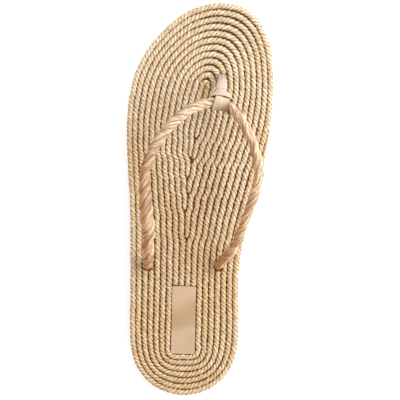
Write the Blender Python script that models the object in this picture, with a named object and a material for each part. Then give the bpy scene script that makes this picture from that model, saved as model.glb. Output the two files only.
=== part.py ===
"""A left rope thong sandal: a coiled rope footbed on a thin rubber outsole, a twisted rope strap
that crosses the foot in one length, and a leather wrap, collar and post between the toes.

Sizes are in millimetres. +Y runs to the toe, +X to the inner side of the foot and +Z up. The origin
is on the ground, under the middle of the sole's box.
"""

import math
from collections import namedtuple

import bmesh
import bpy
import numpy as np
from mathutils import Vector

MM = 0.001  # metres in a millimetre
GAP = 0.3  # left between pieces that touch

# Sole sizes
SOLE_LENGTH = 255.0
OUTSOLE_THICKNESS = 9.0
OUTSOLE_INSET = 1.2  # the rope overhangs the rubber by this much
OUTSOLE_EDGE = 1.0  # rounding of the rubber's lower edge
SPRING_START = 200.0  # where the toe begins to lift, from the heel
SPRING_RISE = 4.0  # lift of the toe's tip
OUTLINE_STEPS = 100
OUTLINE_SOFTNESS = 4.0  # small bumps shorter than this are smoothed away

# Footbed rope
ROPE_PITCH = 3.87  # from one row of rope to the next
ROPE_ROWS = 12
FIRST_ROW_LESS = 0.6  # the outermost row rolls over the edge, so it shows this much narrower
LAST_ROW_LESS = 0.8  # the innermost row is this much narrower
SEAM_ROOM = 0.7  # rows end this far from the line where those of both sides meet
ROW_SHOULDER = 0.28  # flat top of a row begins this share of the pitch from its groove
GROOVE_DEPTH = 1.3

# Strap rope
STRAP_DIAMETER = 7.3
STRAP_SQUEEZED = 6.5  # its diameter inside the wrap
STRAP_STRANDS = 3
STRAP_LAY = 19.0  # length of rope in which a strand goes once round
STRAND_CENTRE = 0.45  # a strand's centre and radius, as shares of the rope's radius
STRAND_RADIUS = 0.55
STRAP_SIDES = 12
STRAP_STEP = 2.4  # between sections along the rope
ANCHOR_DEPTH = 5.0  # how far the rope goes down into the rubber

# Leather at the toe
SLEEVE_LENGTH = 11.0
SLEEVE_WALL = 1.0
SLEEVE_FLARE = 0.33  # the wrap is longer at the back than at the front by this share either way
SLEEVE_SIDES = 16
POST_WIDTH = 7.5
POST_THICKNESS = 2.6
POST_DEPTH = 4.0  # how far the post goes down into the rubber
COLLAR_LENGTH = 5.5
COLLAR_LOW = (8.6, 4.0)  # width and thickness where it grips the post
COLLAR_HIGH = (13.4, 5.6)  # width and thickness at the wrap
COLLAR_SIDES = 20

# Label let into the heel
LABEL_SIZE = (15.5, 44.0)
LABEL_THICKNESS = 1.0
LABEL_PLACE = (-10.6, 49.0)  # across, and along from the heel
LABEL_TURN = math.radians(-1.2)
LABEL_BELOW_ROWS = 0.45  # its face lies this far below the tops of the rows

# The sole's edges at each section: distance from the heel, and the outer and inner edge across
Section = namedtuple("Section", "along outer inner")
HEEL_TIP = (-10.2, 0.0)
TOE_TIP = (13.5, SOLE_LENGTH)
SECTIONS = (
    Section(3.0, -24.4, 4.0),
    Section(10.0, -34.7, 14.3),
    Section(20.0, -41.8, 21.3),
    Section(35.0, -45.0, 24.6),
    Section(60.0, -45.0, 24.7),
    Section(85.0, -44.9, 25.4),
    Section(105.0, -44.9, 29.2),
    Section(125.0, -45.2, 35.2),
    Section(145.0, -46.3, 40.4),
    Section(165.0, -47.2, 44.3),
    Section(185.0, -46.7, 46.8),
    Section(205.0, -43.3, 47.6),
    Section(220.0, -37.0, 46.7),
    Section(232.0, -28.2, 44.2),
    Section(242.0, -18.3, 39.6),
    Section(250.0, -6.5, 32.2),
)

# The strap's route, from the outer anchor to the inner one: across, along from the heel, and the
# height of the rope's middle above the tops of the footbed's rows
Route = namedtuple("Route", "across along height")
STRAP_ROUTE = (
    Route(-33.4, 84.9, 1.5),
    Route(-33.5, 88.5, 10.5),
    Route(-33.6, 98.0, 23.5),
    Route(-34.2, 113.5, 35.0),
    Route(-35.0, 129.5, 40.0),
    Route(-34.2, 144.0, 40.0),
    Route(-28.4, 160.5, 37.0),
    Route(-16.0, 177.5, 30.5),
    Route(-3.0, 186.8, 24.5),
    Route(6.6, 189.4, 21.0),
    Route(13.8, 189.0, 20.0),
    Route(20.8, 186.2, 21.0),
    Route(27.6, 177.5, 25.5),
    Route(34.0, 165.5, 32.0),
    Route(38.0, 152.0, 37.5),
    Route(38.0, 139.0, 39.5),
    Route(35.0, 128.8, 38.5),
    Route(31.0, 117.5, 34.0),
    Route(24.9, 101.5, 24.5),
    Route(20.2, 94.0, 18.0),
    Route(14.6, 88.0, 10.0),
    Route(12.3, 84.6, 1.5),
)
SLEEVE_AT = 10  # the route's row in the middle of the wrap

# The post, from the rubber up to the wrap: along from the heel, and height above the rows' tops
POST_ACROSS = 14.6
POST_FOOT = 206.4

# Colours as the finished pieces show them
RUBBER_COLOUR = (0.36, 0.25, 0.16)
ROPE_COLOUR = (0.66, 0.48, 0.29)
STRAP_COLOUR = (0.66, 0.43, 0.25)
LEATHER_COLOUR = (0.84, 0.63, 0.44)
LABEL_COLOUR = (0.66, 0.46, 0.28)
POST_COLOUR = (0.84, 0.66, 0.55)

COIL_FLOOR = OUTSOLE_THICKNESS + GAP
ROWS_TOP = COIL_FLOOR + ROPE_PITCH


def closed_spline(knots, steps_between=24):
    """Points on the smooth closed curve through the knots."""
    count = len(knots)
    after = np.roll(knots, -1, axis=0)
    chord = np.linalg.norm(after - knots, axis=1)
    system = np.zeros((count, count))
    slopes = (after - knots) / chord[:, None]
    for i in range(count):
        before, here = chord[i - 1], chord[i]
        system[i, i - 1] += before
        system[i, i] += 2 * (before + here)
        system[i, (i + 1) % count] += here
    bend = np.linalg.solve(system, 6 * (slopes - np.roll(slopes, 1, axis=0)))
    points = []
    for i in range(count):
        j = (i + 1) % count
        length = chord[i]
        for t in np.arange(steps_between) / steps_between * length:
            u = length - t
            cubic = (bend[i] * u**3 + bend[j] * t**3) / (6 * length)
            points.append(
                cubic
                + (knots[i] / length - bend[i] * length / 6) * u
                + (knots[j] / length - bend[j] * length / 6) * t
            )
    return np.array(points)


def evenly_round(points, count):
    """Points at even distances round a closed line."""
    ring = np.vstack([points, points[:1]])
    reach = np.concatenate([[0.0], np.cumsum(np.linalg.norm(np.diff(ring, axis=0), axis=1))])
    wanted = np.arange(count) / count * reach[-1]
    return np.column_stack([np.interp(wanted, reach, ring[:, axis]) for axis in range(2)])


def softened(points):
    """A closed line of even points with its shortest bumps taken out."""
    length = np.linalg.norm(np.roll(points, -1, axis=0) - points, axis=1).sum()
    waves = np.fft.fft(points[:, 0] + 1j * points[:, 1])
    turns = np.fft.fftfreq(len(points)) * len(points)
    waves *= np.exp(-0.5 * (2 * np.pi * turns * OUTLINE_SOFTNESS / length) ** 2)
    smooth = np.fft.ifft(waves)
    return np.column_stack([smooth.real, smooth.imag])


def sole_outline():
    """The sole's edge from above, counter-clockwise from the heel, with its box centred on the origin."""
    inner = [(row.inner, row.along) for row in SECTIONS]
    outer = [(row.outer, row.along) for row in reversed(SECTIONS)]
    knots = np.array([HEEL_TIP, *inner, TOE_TIP, *outer])
    edge = softened(evenly_round(closed_spline(knots), 8 * OUTLINE_STEPS))
    centre = (edge.min(axis=0) + edge.max(axis=0)) / 2
    return evenly_round(edge - centre, OUTLINE_STEPS), centre


def inward(outline):
    """The direction into the sole at each point of its outline."""
    along = np.roll(outline, -1, axis=0) - np.roll(outline, 1, axis=0)
    along /= np.linalg.norm(along, axis=1)[:, None]
    return np.column_stack([-along[:, 1], along[:, 0]])


def depth_to_middle(outline, normals):
    """How far in from each point of the outline the rows can go before they meet those from across."""
    to_others = outline[None, :, :] - outline[:, None, :]
    ahead = np.einsum("ijk,ik->ij", to_others, normals)
    apart = (to_others**2).sum(axis=2)
    touching = np.full(apart.shape, np.inf)
    np.divide(apart, 2 * ahead, out=touching, where=ahead > 1e-6)
    return touching.min(axis=1)


OUTLINE, OUTLINE_CENTRE = sole_outline()
NORMALS = inward(OUTLINE)
DEPTHS = depth_to_middle(OUTLINE, NORMALS)


def place(across, along):
    """A point of the tables above, measured from the origin."""
    return across - OUTLINE_CENTRE[0], along - OUTLINE_CENTRE[1]


def toe_lift(y):
    """Height that the toe spring adds at a distance y from the origin."""
    rise = (y + SOLE_LENGTH / 2 - SPRING_START) / (SOLE_LENGTH - SPRING_START)
    return SPRING_RISE * max(0.0, rise) ** 2


def new_object(name, bm, colour, roughness, smooth=False):
    """A named object made from a mesh in millimetres, with its own material."""
    bmesh.ops.recalc_face_normals(bm, faces=bm.faces)
    for face in bm.faces:
        face.smooth = smooth
    bmesh.ops.scale(bm, vec=(MM, MM, MM), verts=bm.verts)
    mesh = bpy.data.meshes.new(name)
    bm.to_mesh(mesh)
    bm.free()
    piece = bpy.data.objects.new(name, mesh)
    bpy.context.scene.collection.objects.link(piece)
    if colour is not None:
        material = bpy.data.materials.new(name + "_finish")
        material.use_nodes = True
        shader = material.node_tree.nodes["Principled BSDF"]
        shader.inputs["Base Color"].default_value = (*colour, 1.0)
        shader.inputs["Roughness"].default_value = roughness
        mesh.materials.append(material)
    return piece


def cut(piece, cutter):
    """Takes the cutter's shape out of a piece, and keeps the cutter as a guide only."""
    cutter.hide_render = True
    cutter.display_type = "WIRE"
    boolean = piece.modifiers.new("cut_" + cutter.name, "BOOLEAN")
    boolean.operation = "DIFFERENCE"
    boolean.solver = "EXACT"
    boolean.object = cutter


def contour(bm, inset, height):
    """A ring of the sole, inset from its outline. The middle, where rows meet, has no points."""
    ring = {}
    for i in np.flatnonzero(DEPTHS >= inset + SEAM_ROOM):
        x, y = OUTLINE[i] + NORMALS[i] * inset
        ring[i] = bm.verts.new((x, y, height + toe_lift(y)))
    return ring


def join_contours(bm, wide, narrow):
    """Faces between two rings, where each point of the narrow one has its match in the wide one."""
    keys = sorted(wide)
    held = narrow[max(narrow)]
    for here, after in zip(keys, keys[1:] + keys[:1]):
        held = narrow.get(here, held)
        following = narrow.get(after, held)
        corners = [wide[here], wide[after], following]
        if following is not held:
            corners.append(held)
        bm.faces.new(corners)


def contour_solid(name, profile, colour, roughness):
    """A sole layer: rings along a profile of insets and heights, from underneath, round, to the top."""
    bm = bmesh.new()
    rings = [contour(bm, inset, height) for inset, height in profile]
    for a, b in zip(rings, rings[1:]):
        join_contours(bm, *((a, b) if len(a) >= len(b) else (b, a)))
    for ring in (rings[0], rings[-1]):
        bm.faces.new([ring[i] for i in sorted(ring)])
    return new_object(name, bm, colour, roughness)


def outsole():
    low, high = 0.0, OUTSOLE_THICKNESS
    flats = (38.0, 18.0)  # rings that let the flat faces follow the toe spring
    profile = [(inset, low) for inset in flats]
    profile += [
        (OUTSOLE_INSET + OUTSOLE_EDGE, low),
        (OUTSOLE_INSET, low + OUTSOLE_EDGE),
        (OUTSOLE_INSET, high),
    ]
    profile += [(inset, high) for inset in reversed(flats)]
    return contour_solid("outsole", profile, RUBBER_COLOUR, 0.75)


def footbed_coil():
    """The coiled rope as one pad with its rows raised."""
    groove = ROWS_TOP - GROOVE_DEPTH
    profile = [(inset, COIL_FLOOR) for inset in (38.0, 18.0, ROW_SHOULDER * ROPE_PITCH)]
    profile.append((0.0, COIL_FLOOR + ROPE_PITCH / 2))
    for row in range(ROPE_ROWS):
        start = max(0.0, row * ROPE_PITCH - FIRST_ROW_LESS)
        end = (row + 1) * ROPE_PITCH - FIRST_ROW_LESS
        if row == ROPE_ROWS - 1:
            end -= LAST_ROW_LESS
        shoulder = ROW_SHOULDER * (end - start)
        profile.append((start + shoulder, ROWS_TOP))
        profile.append((end - shoulder, ROWS_TOP))
        profile.append((end, groove))
    return contour_solid("footbed_coil", profile, ROPE_COLOUR, 0.85)


def smooth_route(points, step):
    """Points at even distances on the smooth open curve through the given ones."""
    knots = np.array(points, float)
    ends = np.vstack([2 * knots[0] - knots[1], knots, 2 * knots[-1] - knots[-2]])
    curve = []
    for a, b, c, d in zip(ends, ends[1:], ends[2:], ends[3:]):
        for t in np.linspace(0, 1, 16, endpoint=False):
            bend = 2 * a - 5 * b + 4 * c - d
            swing = 3 * (b - c) + d - a
            curve.append(b + 0.5 * t * (c - a + t * (bend + t * swing)))
    curve = np.vstack([curve, knots[-1:]])
    reach = np.concatenate([[0.0], np.cumsum(np.linalg.norm(np.diff(curve, axis=0), axis=1))])
    wanted = np.linspace(0, reach[-1], round(reach[-1] / step) + 1)
    return np.column_stack([np.interp(wanted, reach, curve[:, axis]) for axis in range(3)])


def frames(path, first_side):
    """Along, side and up directions at each point of a path, turned as little as they can be."""
    along = np.gradient(path, axis=0)
    along /= np.linalg.norm(along, axis=1)[:, None]
    side = np.array(first_side, float)
    made = []
    for direction in along:
        side = side - direction * side.dot(direction)
        side /= np.linalg.norm(side)
        made.append((side, np.cross(direction, side)))
    return made


def swept_rings(bm, path, directions, sections):
    """Rings of points that follow a path, one section for each of its points."""
    rings = []
    for point, (side, up), section in zip(path, directions, sections):
        rings.append([bm.verts.new(point + side * x + up * y) for x, y in section])
    for a, b in zip(rings, rings[1:]):
        for i in range(len(a)):
            j = (i + 1) % len(a)
            bm.faces.new((a[j], b[j], b[i], a[i]))
    return rings


def rope_section(radius, strands, sides, turn):
    """A twisted rope's section: its strands bulge out, and the furrows between them lie deeper."""
    points = []
    for k in range(sides):
        angle = 2 * math.pi * k / sides
        off = (angle * strands / (2 * math.pi) + 0.5) % 1.0 - 0.5
        off *= 2 * math.pi / strands
        reach = STRAND_CENTRE * math.cos(off)
        reach += math.sqrt(STRAND_RADIUS**2 - (STRAND_CENTRE * math.sin(off)) ** 2)
        points.append((radius * reach * math.cos(angle + turn), radius * reach * math.sin(angle + turn)))
    return points


def strap_path():
    """The middle of the strap rope, from inside one anchor hole to inside the other."""
    points = []
    for row in STRAP_ROUTE:
        x, y = place(row.across, row.along)
        points.append((x, y, ROWS_TOP + row.height))
    bottom = OUTSOLE_THICKNESS - ANCHOR_DEPTH + GAP
    first, last = ((*end[:2], bottom) for end in (points[0], points[-1]))
    return [first, *points, last]


def strap_radius(point):
    """The rope's radius at a point of its route: less inside the wrap, which grips it."""
    from_wrap = np.linalg.norm(point - post_line()[1])
    ease = min(1.0, max(0.0, (from_wrap - SLEEVE_LENGTH * 0.7) / 4.0))
    return (STRAP_SQUEEZED + (STRAP_DIAMETER - STRAP_SQUEEZED) * ease) / 2


def strap_rope():
    path = smooth_route(strap_path(), STRAP_STEP)
    bm = bmesh.new()
    sections = []
    for k, point in enumerate(path):
        turn = 2 * math.pi * STRAP_STEP * k / STRAP_LAY
        sections.append(rope_section(strap_radius(point), STRAP_STRANDS, STRAP_SIDES, turn))
    rings = swept_rings(bm, path, frames(path, (1, 0, 0)), sections)
    for ring in (rings[0], rings[-1]):
        bm.faces.new(ring)
    return new_object("strap_rope", bm, STRAP_COLOUR, 0.7, smooth=True)


def round_section(radius, sides):
    step = 2 * math.pi / sides
    return [(radius * math.cos(step * k), radius * math.sin(step * k)) for k in range(sides)]


def sleeve_path(length, step):
    """The stretch of the strap's route under the wrap."""
    path = smooth_route(strap_path(), 0.5)
    x, y = place(STRAP_ROUTE[SLEEVE_AT].across, STRAP_ROUTE[SLEEVE_AT].along)
    middle = int(np.argmin((path[:, 0] - x) ** 2 + (path[:, 1] - y) ** 2))
    half = round(length / 2 / 0.5)
    return path[middle - half : middle + half + 1 : round(step / 0.5)]


def strap_sleeve():
    """The leather wrap: a short tube round the rope."""
    path = sleeve_path(SLEEVE_LENGTH, 2.0)
    directions = frames(path, (0, 1, 0))
    inside = STRAP_SQUEEZED / 2 + GAP
    bm = bmesh.new()
    tubes = []
    for radius in (inside, inside + SLEEVE_WALL):
        section = round_section(radius, SLEEVE_SIDES)
        tubes.append(swept_rings(bm, path, directions, [section] * len(path)))
    middle = (len(path) - 1) / 2
    for rings in tubes:
        for k, ring in enumerate(rings):
            from_middle = path[k] - path[int(middle)]
            for side, vert in enumerate(ring):
                forward = math.cos(2 * math.pi * side / SLEEVE_SIDES)
                vert.co -= Vector(from_middle * SLEEVE_FLARE * forward)
    for end in (0, -1):
        inner, outer = tubes[0][end], tubes[1][end]
        for i in range(SLEEVE_SIDES):
            j = (i + 1) % SLEEVE_SIDES
            bm.faces.new((inner[i], inner[j], outer[j], outer[i]))
    return new_object("strap_sleeve", bm, LEATHER_COLOUR, 0.5, smooth=True)


def tape_section(width, thickness, corner=0.8):
    """A flat tape's section with its corners taken off."""
    w, t = width / 2, thickness / 2
    return [
        (w, t - corner), (w - corner, t), (corner - w, t), (-w, t - corner),
        (-w, corner - t), (corner - w, -t), (w - corner, -t), (w, corner - t),
    ]  # fmt: skip


def post_line():
    """Where the post leaves the footbed, and the middle of the wrap that it leans back to."""
    x, y = place(POST_ACROSS, POST_FOOT)
    foot = np.array((x, y, ROWS_TOP + toe_lift(y) + 1.0))
    row = STRAP_ROUTE[SLEEVE_AT]
    wrap = np.array((*place(row.across, row.along), ROWS_TOP + row.height))
    return foot, wrap


def lean():
    foot, wrap = post_line()
    return (wrap - foot) / np.linalg.norm(wrap - foot)


def wrap_radius():
    return STRAP_SQUEEZED / 2 + GAP + SLEEVE_WALL + GAP


def toe_post():
    foot, wrap = post_line()
    top = wrap - lean() * (wrap_radius() + COLLAR_LENGTH + GAP)
    low = foot - np.array((0, 0, ROWS_TOP + 1.0 - OUTSOLE_THICKNESS + POST_DEPTH - GAP))
    path = np.array([low, foot, foot + lean() * 1.5, top])
    bm = bmesh.new()
    section = tape_section(POST_WIDTH, POST_THICKNESS)
    rings = swept_rings(bm, path, frames(path, (1, 0, 0)), [section] * len(path))
    for ring in (rings[0], rings[-1]):
        bm.faces.new(ring)
    return new_object("toe_post", bm, POST_COLOUR, 0.45)


def post_collar():
    """The flared leather between the post and the wrap, hollowed to sit on the wrap."""
    _, wrap = post_line()
    top = wrap - lean() * wrap_radius() * 0.35
    low = wrap - lean() * (wrap_radius() + COLLAR_LENGTH)
    path = np.linspace(low, top, 6)
    sections = []
    for share in np.linspace(0, 1, 6):
        flare = math.sin(0.5 * math.pi * share)
        width = COLLAR_LOW[0] + (COLLAR_HIGH[0] - COLLAR_LOW[0]) * flare
        thick = COLLAR_LOW[1] + (COLLAR_HIGH[1] - COLLAR_LOW[1]) * flare
        sections.append([(x * width, y * thick) for x, y in round_section(0.5, COLLAR_SIDES)])
    bm = bmesh.new()
    rings = swept_rings(bm, path, frames(path, (1, 0, 0)), sections)
    for ring in (rings[0], rings[-1]):
        bm.faces.new(ring)
    collar = new_object("post_collar", bm, LEATHER_COLOUR, 0.5, smooth=True)
    path = sleeve_path(SLEEVE_LENGTH + 10.0, 1.0)
    bm = bmesh.new()
    section = round_section(wrap_radius(), 2 * SLEEVE_SIDES)
    rings = swept_rings(bm, path, frames(path, (0, 1, 0)), [section] * len(path))
    for ring in (rings[0], rings[-1]):
        bm.faces.new(ring)
    cut(collar, new_object("collar_seat", bm, None, 0))
    return collar


def box_mesh(size, centre, turn=0.0):
    bm = bmesh.new()
    bmesh.ops.create_cube(bm, size=1.0)
    bmesh.ops.scale(bm, vec=size, verts=bm.verts)
    spin = np.array(((math.cos(turn), -math.sin(turn)), (math.sin(turn), math.cos(turn))))
    for vert in bm.verts:
        x, y = spin @ np.array(vert.co[:2]) + np.array(centre[:2])
        vert.co = (x, y, vert.co.z + centre[2])
    return bm


def heel_label():
    x, y = place(*LABEL_PLACE)
    z = ROWS_TOP - LABEL_BELOW_ROWS - LABEL_THICKNESS / 2
    bm = box_mesh((*LABEL_SIZE, LABEL_THICKNESS), (x, y, z), LABEL_TURN)
    return new_object("heel_label", bm, LABEL_COLOUR, 0.4)


def label_pocket():
    x, y = place(*LABEL_PLACE)
    low = ROWS_TOP - LABEL_BELOW_ROWS - LABEL_THICKNESS - GAP
    high = ROWS_TOP + 5.0
    size = (LABEL_SIZE[0] + 2 * GAP, LABEL_SIZE[1] + 2 * GAP, high - low)
    return new_object("label_pocket", box_mesh(size, (x, y, (low + high) / 2), LABEL_TURN), None, 0)


def anchor_hole(name, row):
    """A round hole for the strap rope, down into the rubber."""
    x, y = place(row.across, row.along)
    low, high = OUTSOLE_THICKNESS - ANCHOR_DEPTH, ROWS_TOP + 5.0
    bm = bmesh.new()
    bmesh.ops.create_cone(
        bm, cap_ends=True, segments=24, depth=high - low,
        radius1=STRAP_DIAMETER / 2 + GAP, radius2=STRAP_DIAMETER / 2 + GAP,
    )  # fmt: skip
    bmesh.ops.translate(bm, vec=(x, y, (low + high) / 2), verts=bm.verts)
    return new_object(name, bm, None, 0)


def post_slot():
    x, y = place(POST_ACROSS, POST_FOOT)
    low = OUTSOLE_THICKNESS - POST_DEPTH
    high = ROWS_TOP + 5.0
    size = (POST_WIDTH + 2 * GAP, POST_THICKNESS + 4 * GAP, high - low)
    return new_object("post_slot", box_mesh(size, (x, y, (low + high) / 2)), None, 0)


def main():
    for thing in list(bpy.data.objects):
        bpy.data.objects.remove(thing)
    rubber = outsole()
    coil = footbed_coil()
    holes = [
        anchor_hole("outer_hole", STRAP_ROUTE[0]),
        anchor_hole("inner_hole", STRAP_ROUTE[-1]),
        post_slot(),
    ]
    for hole in holes:
        cut(rubber, hole)
        cut(coil, hole)
    cut(coil, label_pocket())
    heel_label()
    strap_rope()
    strap_sleeve()
    toe_post()
    post_collar()


main()
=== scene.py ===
"""The looks of a left rope thong sandal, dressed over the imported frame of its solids.

Lengths are in metres, or in millimetres times MM. +Y runs to the toe, +X to the inner side of the foot,
and the sole stands on z = 0.
"""

import math
from collections import namedtuple
from functools import partial

import bmesh
import bpy
import numpy as np
from mathutils import Matrix, Vector


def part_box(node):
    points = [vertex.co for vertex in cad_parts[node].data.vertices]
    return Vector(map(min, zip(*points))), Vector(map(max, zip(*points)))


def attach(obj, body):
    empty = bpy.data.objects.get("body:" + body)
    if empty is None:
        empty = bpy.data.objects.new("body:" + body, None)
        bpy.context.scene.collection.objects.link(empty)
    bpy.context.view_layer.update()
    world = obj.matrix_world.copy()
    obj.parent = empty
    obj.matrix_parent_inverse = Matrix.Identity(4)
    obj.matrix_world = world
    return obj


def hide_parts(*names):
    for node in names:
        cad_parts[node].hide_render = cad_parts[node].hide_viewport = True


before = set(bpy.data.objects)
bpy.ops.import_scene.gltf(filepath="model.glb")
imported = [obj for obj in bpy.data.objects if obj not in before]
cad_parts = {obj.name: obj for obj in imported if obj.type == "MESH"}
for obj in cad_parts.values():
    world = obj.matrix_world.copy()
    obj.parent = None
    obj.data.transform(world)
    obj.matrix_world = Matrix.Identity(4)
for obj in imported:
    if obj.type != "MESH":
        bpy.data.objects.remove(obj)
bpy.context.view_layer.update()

MM = 0.001
CURVE_POINTS = 24  # from each given point of a smooth line to the next
WAVE_SHIFT = 1.7  # radians by which each wave of an unevenness is moved on from the last one
SAME_HEIGHT = 1e-6  # metres within which two heights count as one

# Angles between faces, in degrees, up to which a piece is shaded smoothly
SOLE_ANGLE = 40
ROPE_ANGLE = 75
LEATHER_ANGLE = 50
LABEL_ANGLE = 15

# Picture and studio
PICTURE_SIDE = 400  # pixels
SHOE_IN_PICTURE = 393  # pixels from heel to toe
CAMERA_SPOT = (50 * MM, -0.6 * MM, 2.4)
SENSOR = 36.0
FLOOR_SIZE = 8.0
FLOOR_COLOUR = (0.98, 0.98, 0.98, 1)
FLOOR_GLOW = 0.4  # the floor is a light table, so that shadows on it stay faint
FLOOR_DROP = 0.1 * MM  # below the sole, so that the two faces stay apart
SKY_STRENGTH = 0.58
LIGHT_AIM = (0, 0, 0.02)
LIGHTS = (  # place, size and power
    ((1.3, 0.25, 0.85), 1.5, 26.0),
    ((0.2, 0.8, 0.6), 1.5, 6.7),
    ((0.5, -1.2, 1.1), 2.0, 7.0),
)

# Sole. Its length, its toe spring and the rubber's inset are as the solids have them
SOLE_LENGTH = 255 * MM
SPRING_START = 200 * MM  # where the toe begins to lift, from the heel
SPRING_RISE = 4 * MM
SPRING_CUTS = 4 * MM  # between the cuts that let a layer bend there
RUBBER_INSET = 1.2 * MM
RUBBER_ROUND = 1.0 * MM
BACKING_INSET = 1.9 * MM
BACKING_ROUND = 0.2 * MM
BACKING_THICKNESS = 1.5 * MM
EDGE_POINTS = 1200
LAYER_EVERY = 4  # a layer's outline has one corner for so many points of the edge
EDGE_SOFTNESS = 3 * MM
EDGE_NEAR = 0.02 * MM  # a corner of the coil's solid this near to its middle height is on the edge

# Coiled rope of the footbed
COIL_PITCH = 3.87 * MM
COIL_ROWS = 12
FIRST_ROW_LESS = 0.13  # share of a row by which the outermost one, rolled over the edge, is narrower
ROW_FILL = 0.497  # half the rope's width, as a share of its row's
COIL_RADIUS = 2.0 * MM
COIL_LAY = 8.5 * MM  # length of rope in which a strand goes once round
COIL_STEP = 0.62 * MM
COIL_POINTS = 6  # points across each strand
COIL_SOFTNESS = 1.0 * MM
COIL_WANDER = (0.12 * MM, (23 * MM, 9.1 * MM, 5.3 * MM))  # to the side: its size and its waves
COIL_HEAVE = (0.15 * MM, (31 * MM, 12.7 * MM, 6.1 * MM))  # in height
COIL_TURN = (0.55, (37 * MM, 17 * MM, 9.3 * MM))  # in the twist
LINE_SHIFT = 1.37  # metres by which the pattern of each line of rope is moved on from the last one's
THIN_ROW_HEIGHT = 0.25  # a thin row keeps so much more of its height than of its width
ROUND_END = 1.8 * MM  # length over which a cut end of rope is rounded
END_LEAST = 0.06  # share of that length at which it is cut off
SHORTEST_RUN = 5  # rings
OUTER_SHARE = 0.55  # of all the coil's rope, in the piece of the outer rows
FAINT_GROOVE_SPOT = (-20, 228)  # where the painted shade in the grooves between rows is faintest, in millimetres across and along
FAINT_GROOVE_REACH = 34 * MM
FAINT_GROOVE_SHARE = 0.55  # how much fainter the painted shade in their grooves is there

# Soft bands of painted shadow, in which the footbed's rope is browner and darker: their ends, in millimetres
# across and along from the heel, how many millimetres they reach to each side, and how deep their painted
# shadow is
SHADOW_BANDS = (
    ((-24, 183), (-42, 163), 7, 0.2),
    ((-42, 163), (-42, 142), 7, 0.8),
    ((27, 170), (8, 153), 6, 0.25),
    ((8, 153), (2, 127), 6, 0.4),
    ((2, 127), (1, 90), 9, 0.8),
    ((-29, 140), (-11, 95), 6, 0.9),
    ((-11, 95), (-4, 84), 8, 0.8),
    ((24, 67), (-6, 53), 5, 0.5),
    ((-38, 55), (-34, 28), 14, 0.9),
    ((46, 176), (46, 168), 5, 0.6),
    ((-40, 86), (-38, 82), 6, 0.5),
    ((4, 202), (3, 194), 3, 1.0),
    ((-4, 60), (-8, 10), 36, 0.75),
    ((36, 130), (28, 80), 16, 0.3),
    ((-46, 170), (-46, 120), 8, 0.3),
)
SHIFT_ZONE = (185 * MM, 135 * MM)  # on the inner side, from the heel, where the coil steps in by one row
ROPE_START = 0.15  # share of a row at which the coil's thinned outer end begins

# The seam in the sole's middle where the rows of both sides meet, across and along, and the places along it
# where the inner rows of each side end, the outermost row first. All in millimetres, along from the heel
SEAM = (
    (-11.2, 35.0),
    (-9.8, 73.0),
    (-9.3, 91.2),
    (-8.4, 110.6),
    (-7.9, 126.9),
    (-7.1, 136.6),
    (-6.0, 146.3),
    (-4.4, 159.3),
    (-1.8, 172.3),
    (0.5, 182.0),
    (2.4, 192.0),
    (5.0, 201.4),
)
OUTER_ROW_ENDS = (119.7, 141.1, 154.1)
INNER_ROW_ENDS = (101.6, 130.8, 152.8, 167.1)
SEAM_STEP = 0.5 * MM
SEAM_SOFTNESS = 12 * MM  # length of edge over which the rows' ways to the seam are evened
SEAM_SWING = 1.55 * MM  # how far a row that ends pushes the seam aside
SQUARE_BELOW = 36 * MM  # at the heel the rows bend squarely round the label
SQUARE_SHARE = 0.1
BLUNT_TIP = 0.8  # width of a row at its end, as a share of a full row
TIP_STEP = 3 * MM
TIP_GROWTH = 18 * MM  # length over which it grows to a full row

# Strap rope
STRAP_STEP = 0.6 * MM
STRAP_POINTS = 12
STRAP_UNEVEN = (0.05, (23 * MM, 11.3 * MM, 6.7 * MM))  # in thickness: its share and its waves
STRAP_TURN = (0.6, (61 * MM, 27 * MM, 14 * MM))  # in the twist
HOLE_RADIUS = 2.1 * MM
MOUTH_RADIUS = 3.7 * MM  # painted shade darkens the footbed's rope in the mouth of each hole
MOUTH_FADE = 0.6 * MM
MOUTH_SHADE = 2.0
MOUTH_DIP = 1.0 * MM  # how far the rope dips into it
LIT_SIDE = np.array((0.9, 0.3, 0.3))  # painted light: the strap rope is lighter on the side that faces this way, as lit, and has painted shade on the other
SIDE_SHADE_FROM = 0.05  # how far a place faces that way where the rope has half its painted side shade
SIDE_SHADE_SLOPE = 1.8
SIDE_SHADE_LEAST = 0.15
OVER_SHADE = 0.5  # how dark rope gets that has more than its full painted side shade

# Loose fibres on the strap
STRAY_FIBRES = 150
STRAY_SEED = 5
STRAY_LENGTH = (7 * MM, 20 * MM)
STRAY_RADIUS = (0.12 * MM, 0.22 * MM)
STRAY_FROM = 0.06  # share of the rope at each end that has none
STRAY_TURN = 1.2  # most that one turns off the twist
STRAY_DEPTH = 0.1  # most that it lies in or on the strands, in millimetres
STRAY_LIFT = 0.8  # most that its far end stands off, in millimetres
STRAY_TONE = 0.4  # most that it is browner or paler than the rope
STRAY_BLUNT = 0.04  # how far its tips are short of pointed
STRAY_POINTS = 2
STRAY_STRAND = 0.05  # near to none, so that it is round

# Strands of both ropes
ROPE_STRANDS = 3
PLIES = 2.0  # in each strand of the strap
PLY_EDGE = (0.32, 0.46)  # distances from a ply's middle between which painted shade darkens it, as shares of the ply
STREAK_RANGE = (0.36, 0.64)  # values of a noise that are spread out to its full contrast
FLECK_RANGE = (0.4, 0.6)
STRAND_PATCH = 0.22  # patches of one tone to a unit of a strand's length
STRAND_APART = 7.3  # between the places where two strands read the same noise
FURROW_POWER = 2.2  # the higher, the narrower the painted shade line in a furrow
COIL_STRAND = 0.3  # a strand's distance from the rope's middle, as a share of the rope's radius
STRAP_STRAND = 0.33
STRAND_UNIT = 10 * MM  # length of rope to one unit of its strand coordinate
STRAND_SWELL = 0.045  # unevenness of a strand's thickness
STRAND_SWELLS = ((13 * MM, 2.1), (5.7 * MM, 4.4))  # its waves, and their shift from strand to strand
LOW_FROM, LOW_TO = 0.62, 0.38  # heights on a laid rope between which painted shade darkens it, as shares of its radius
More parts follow.
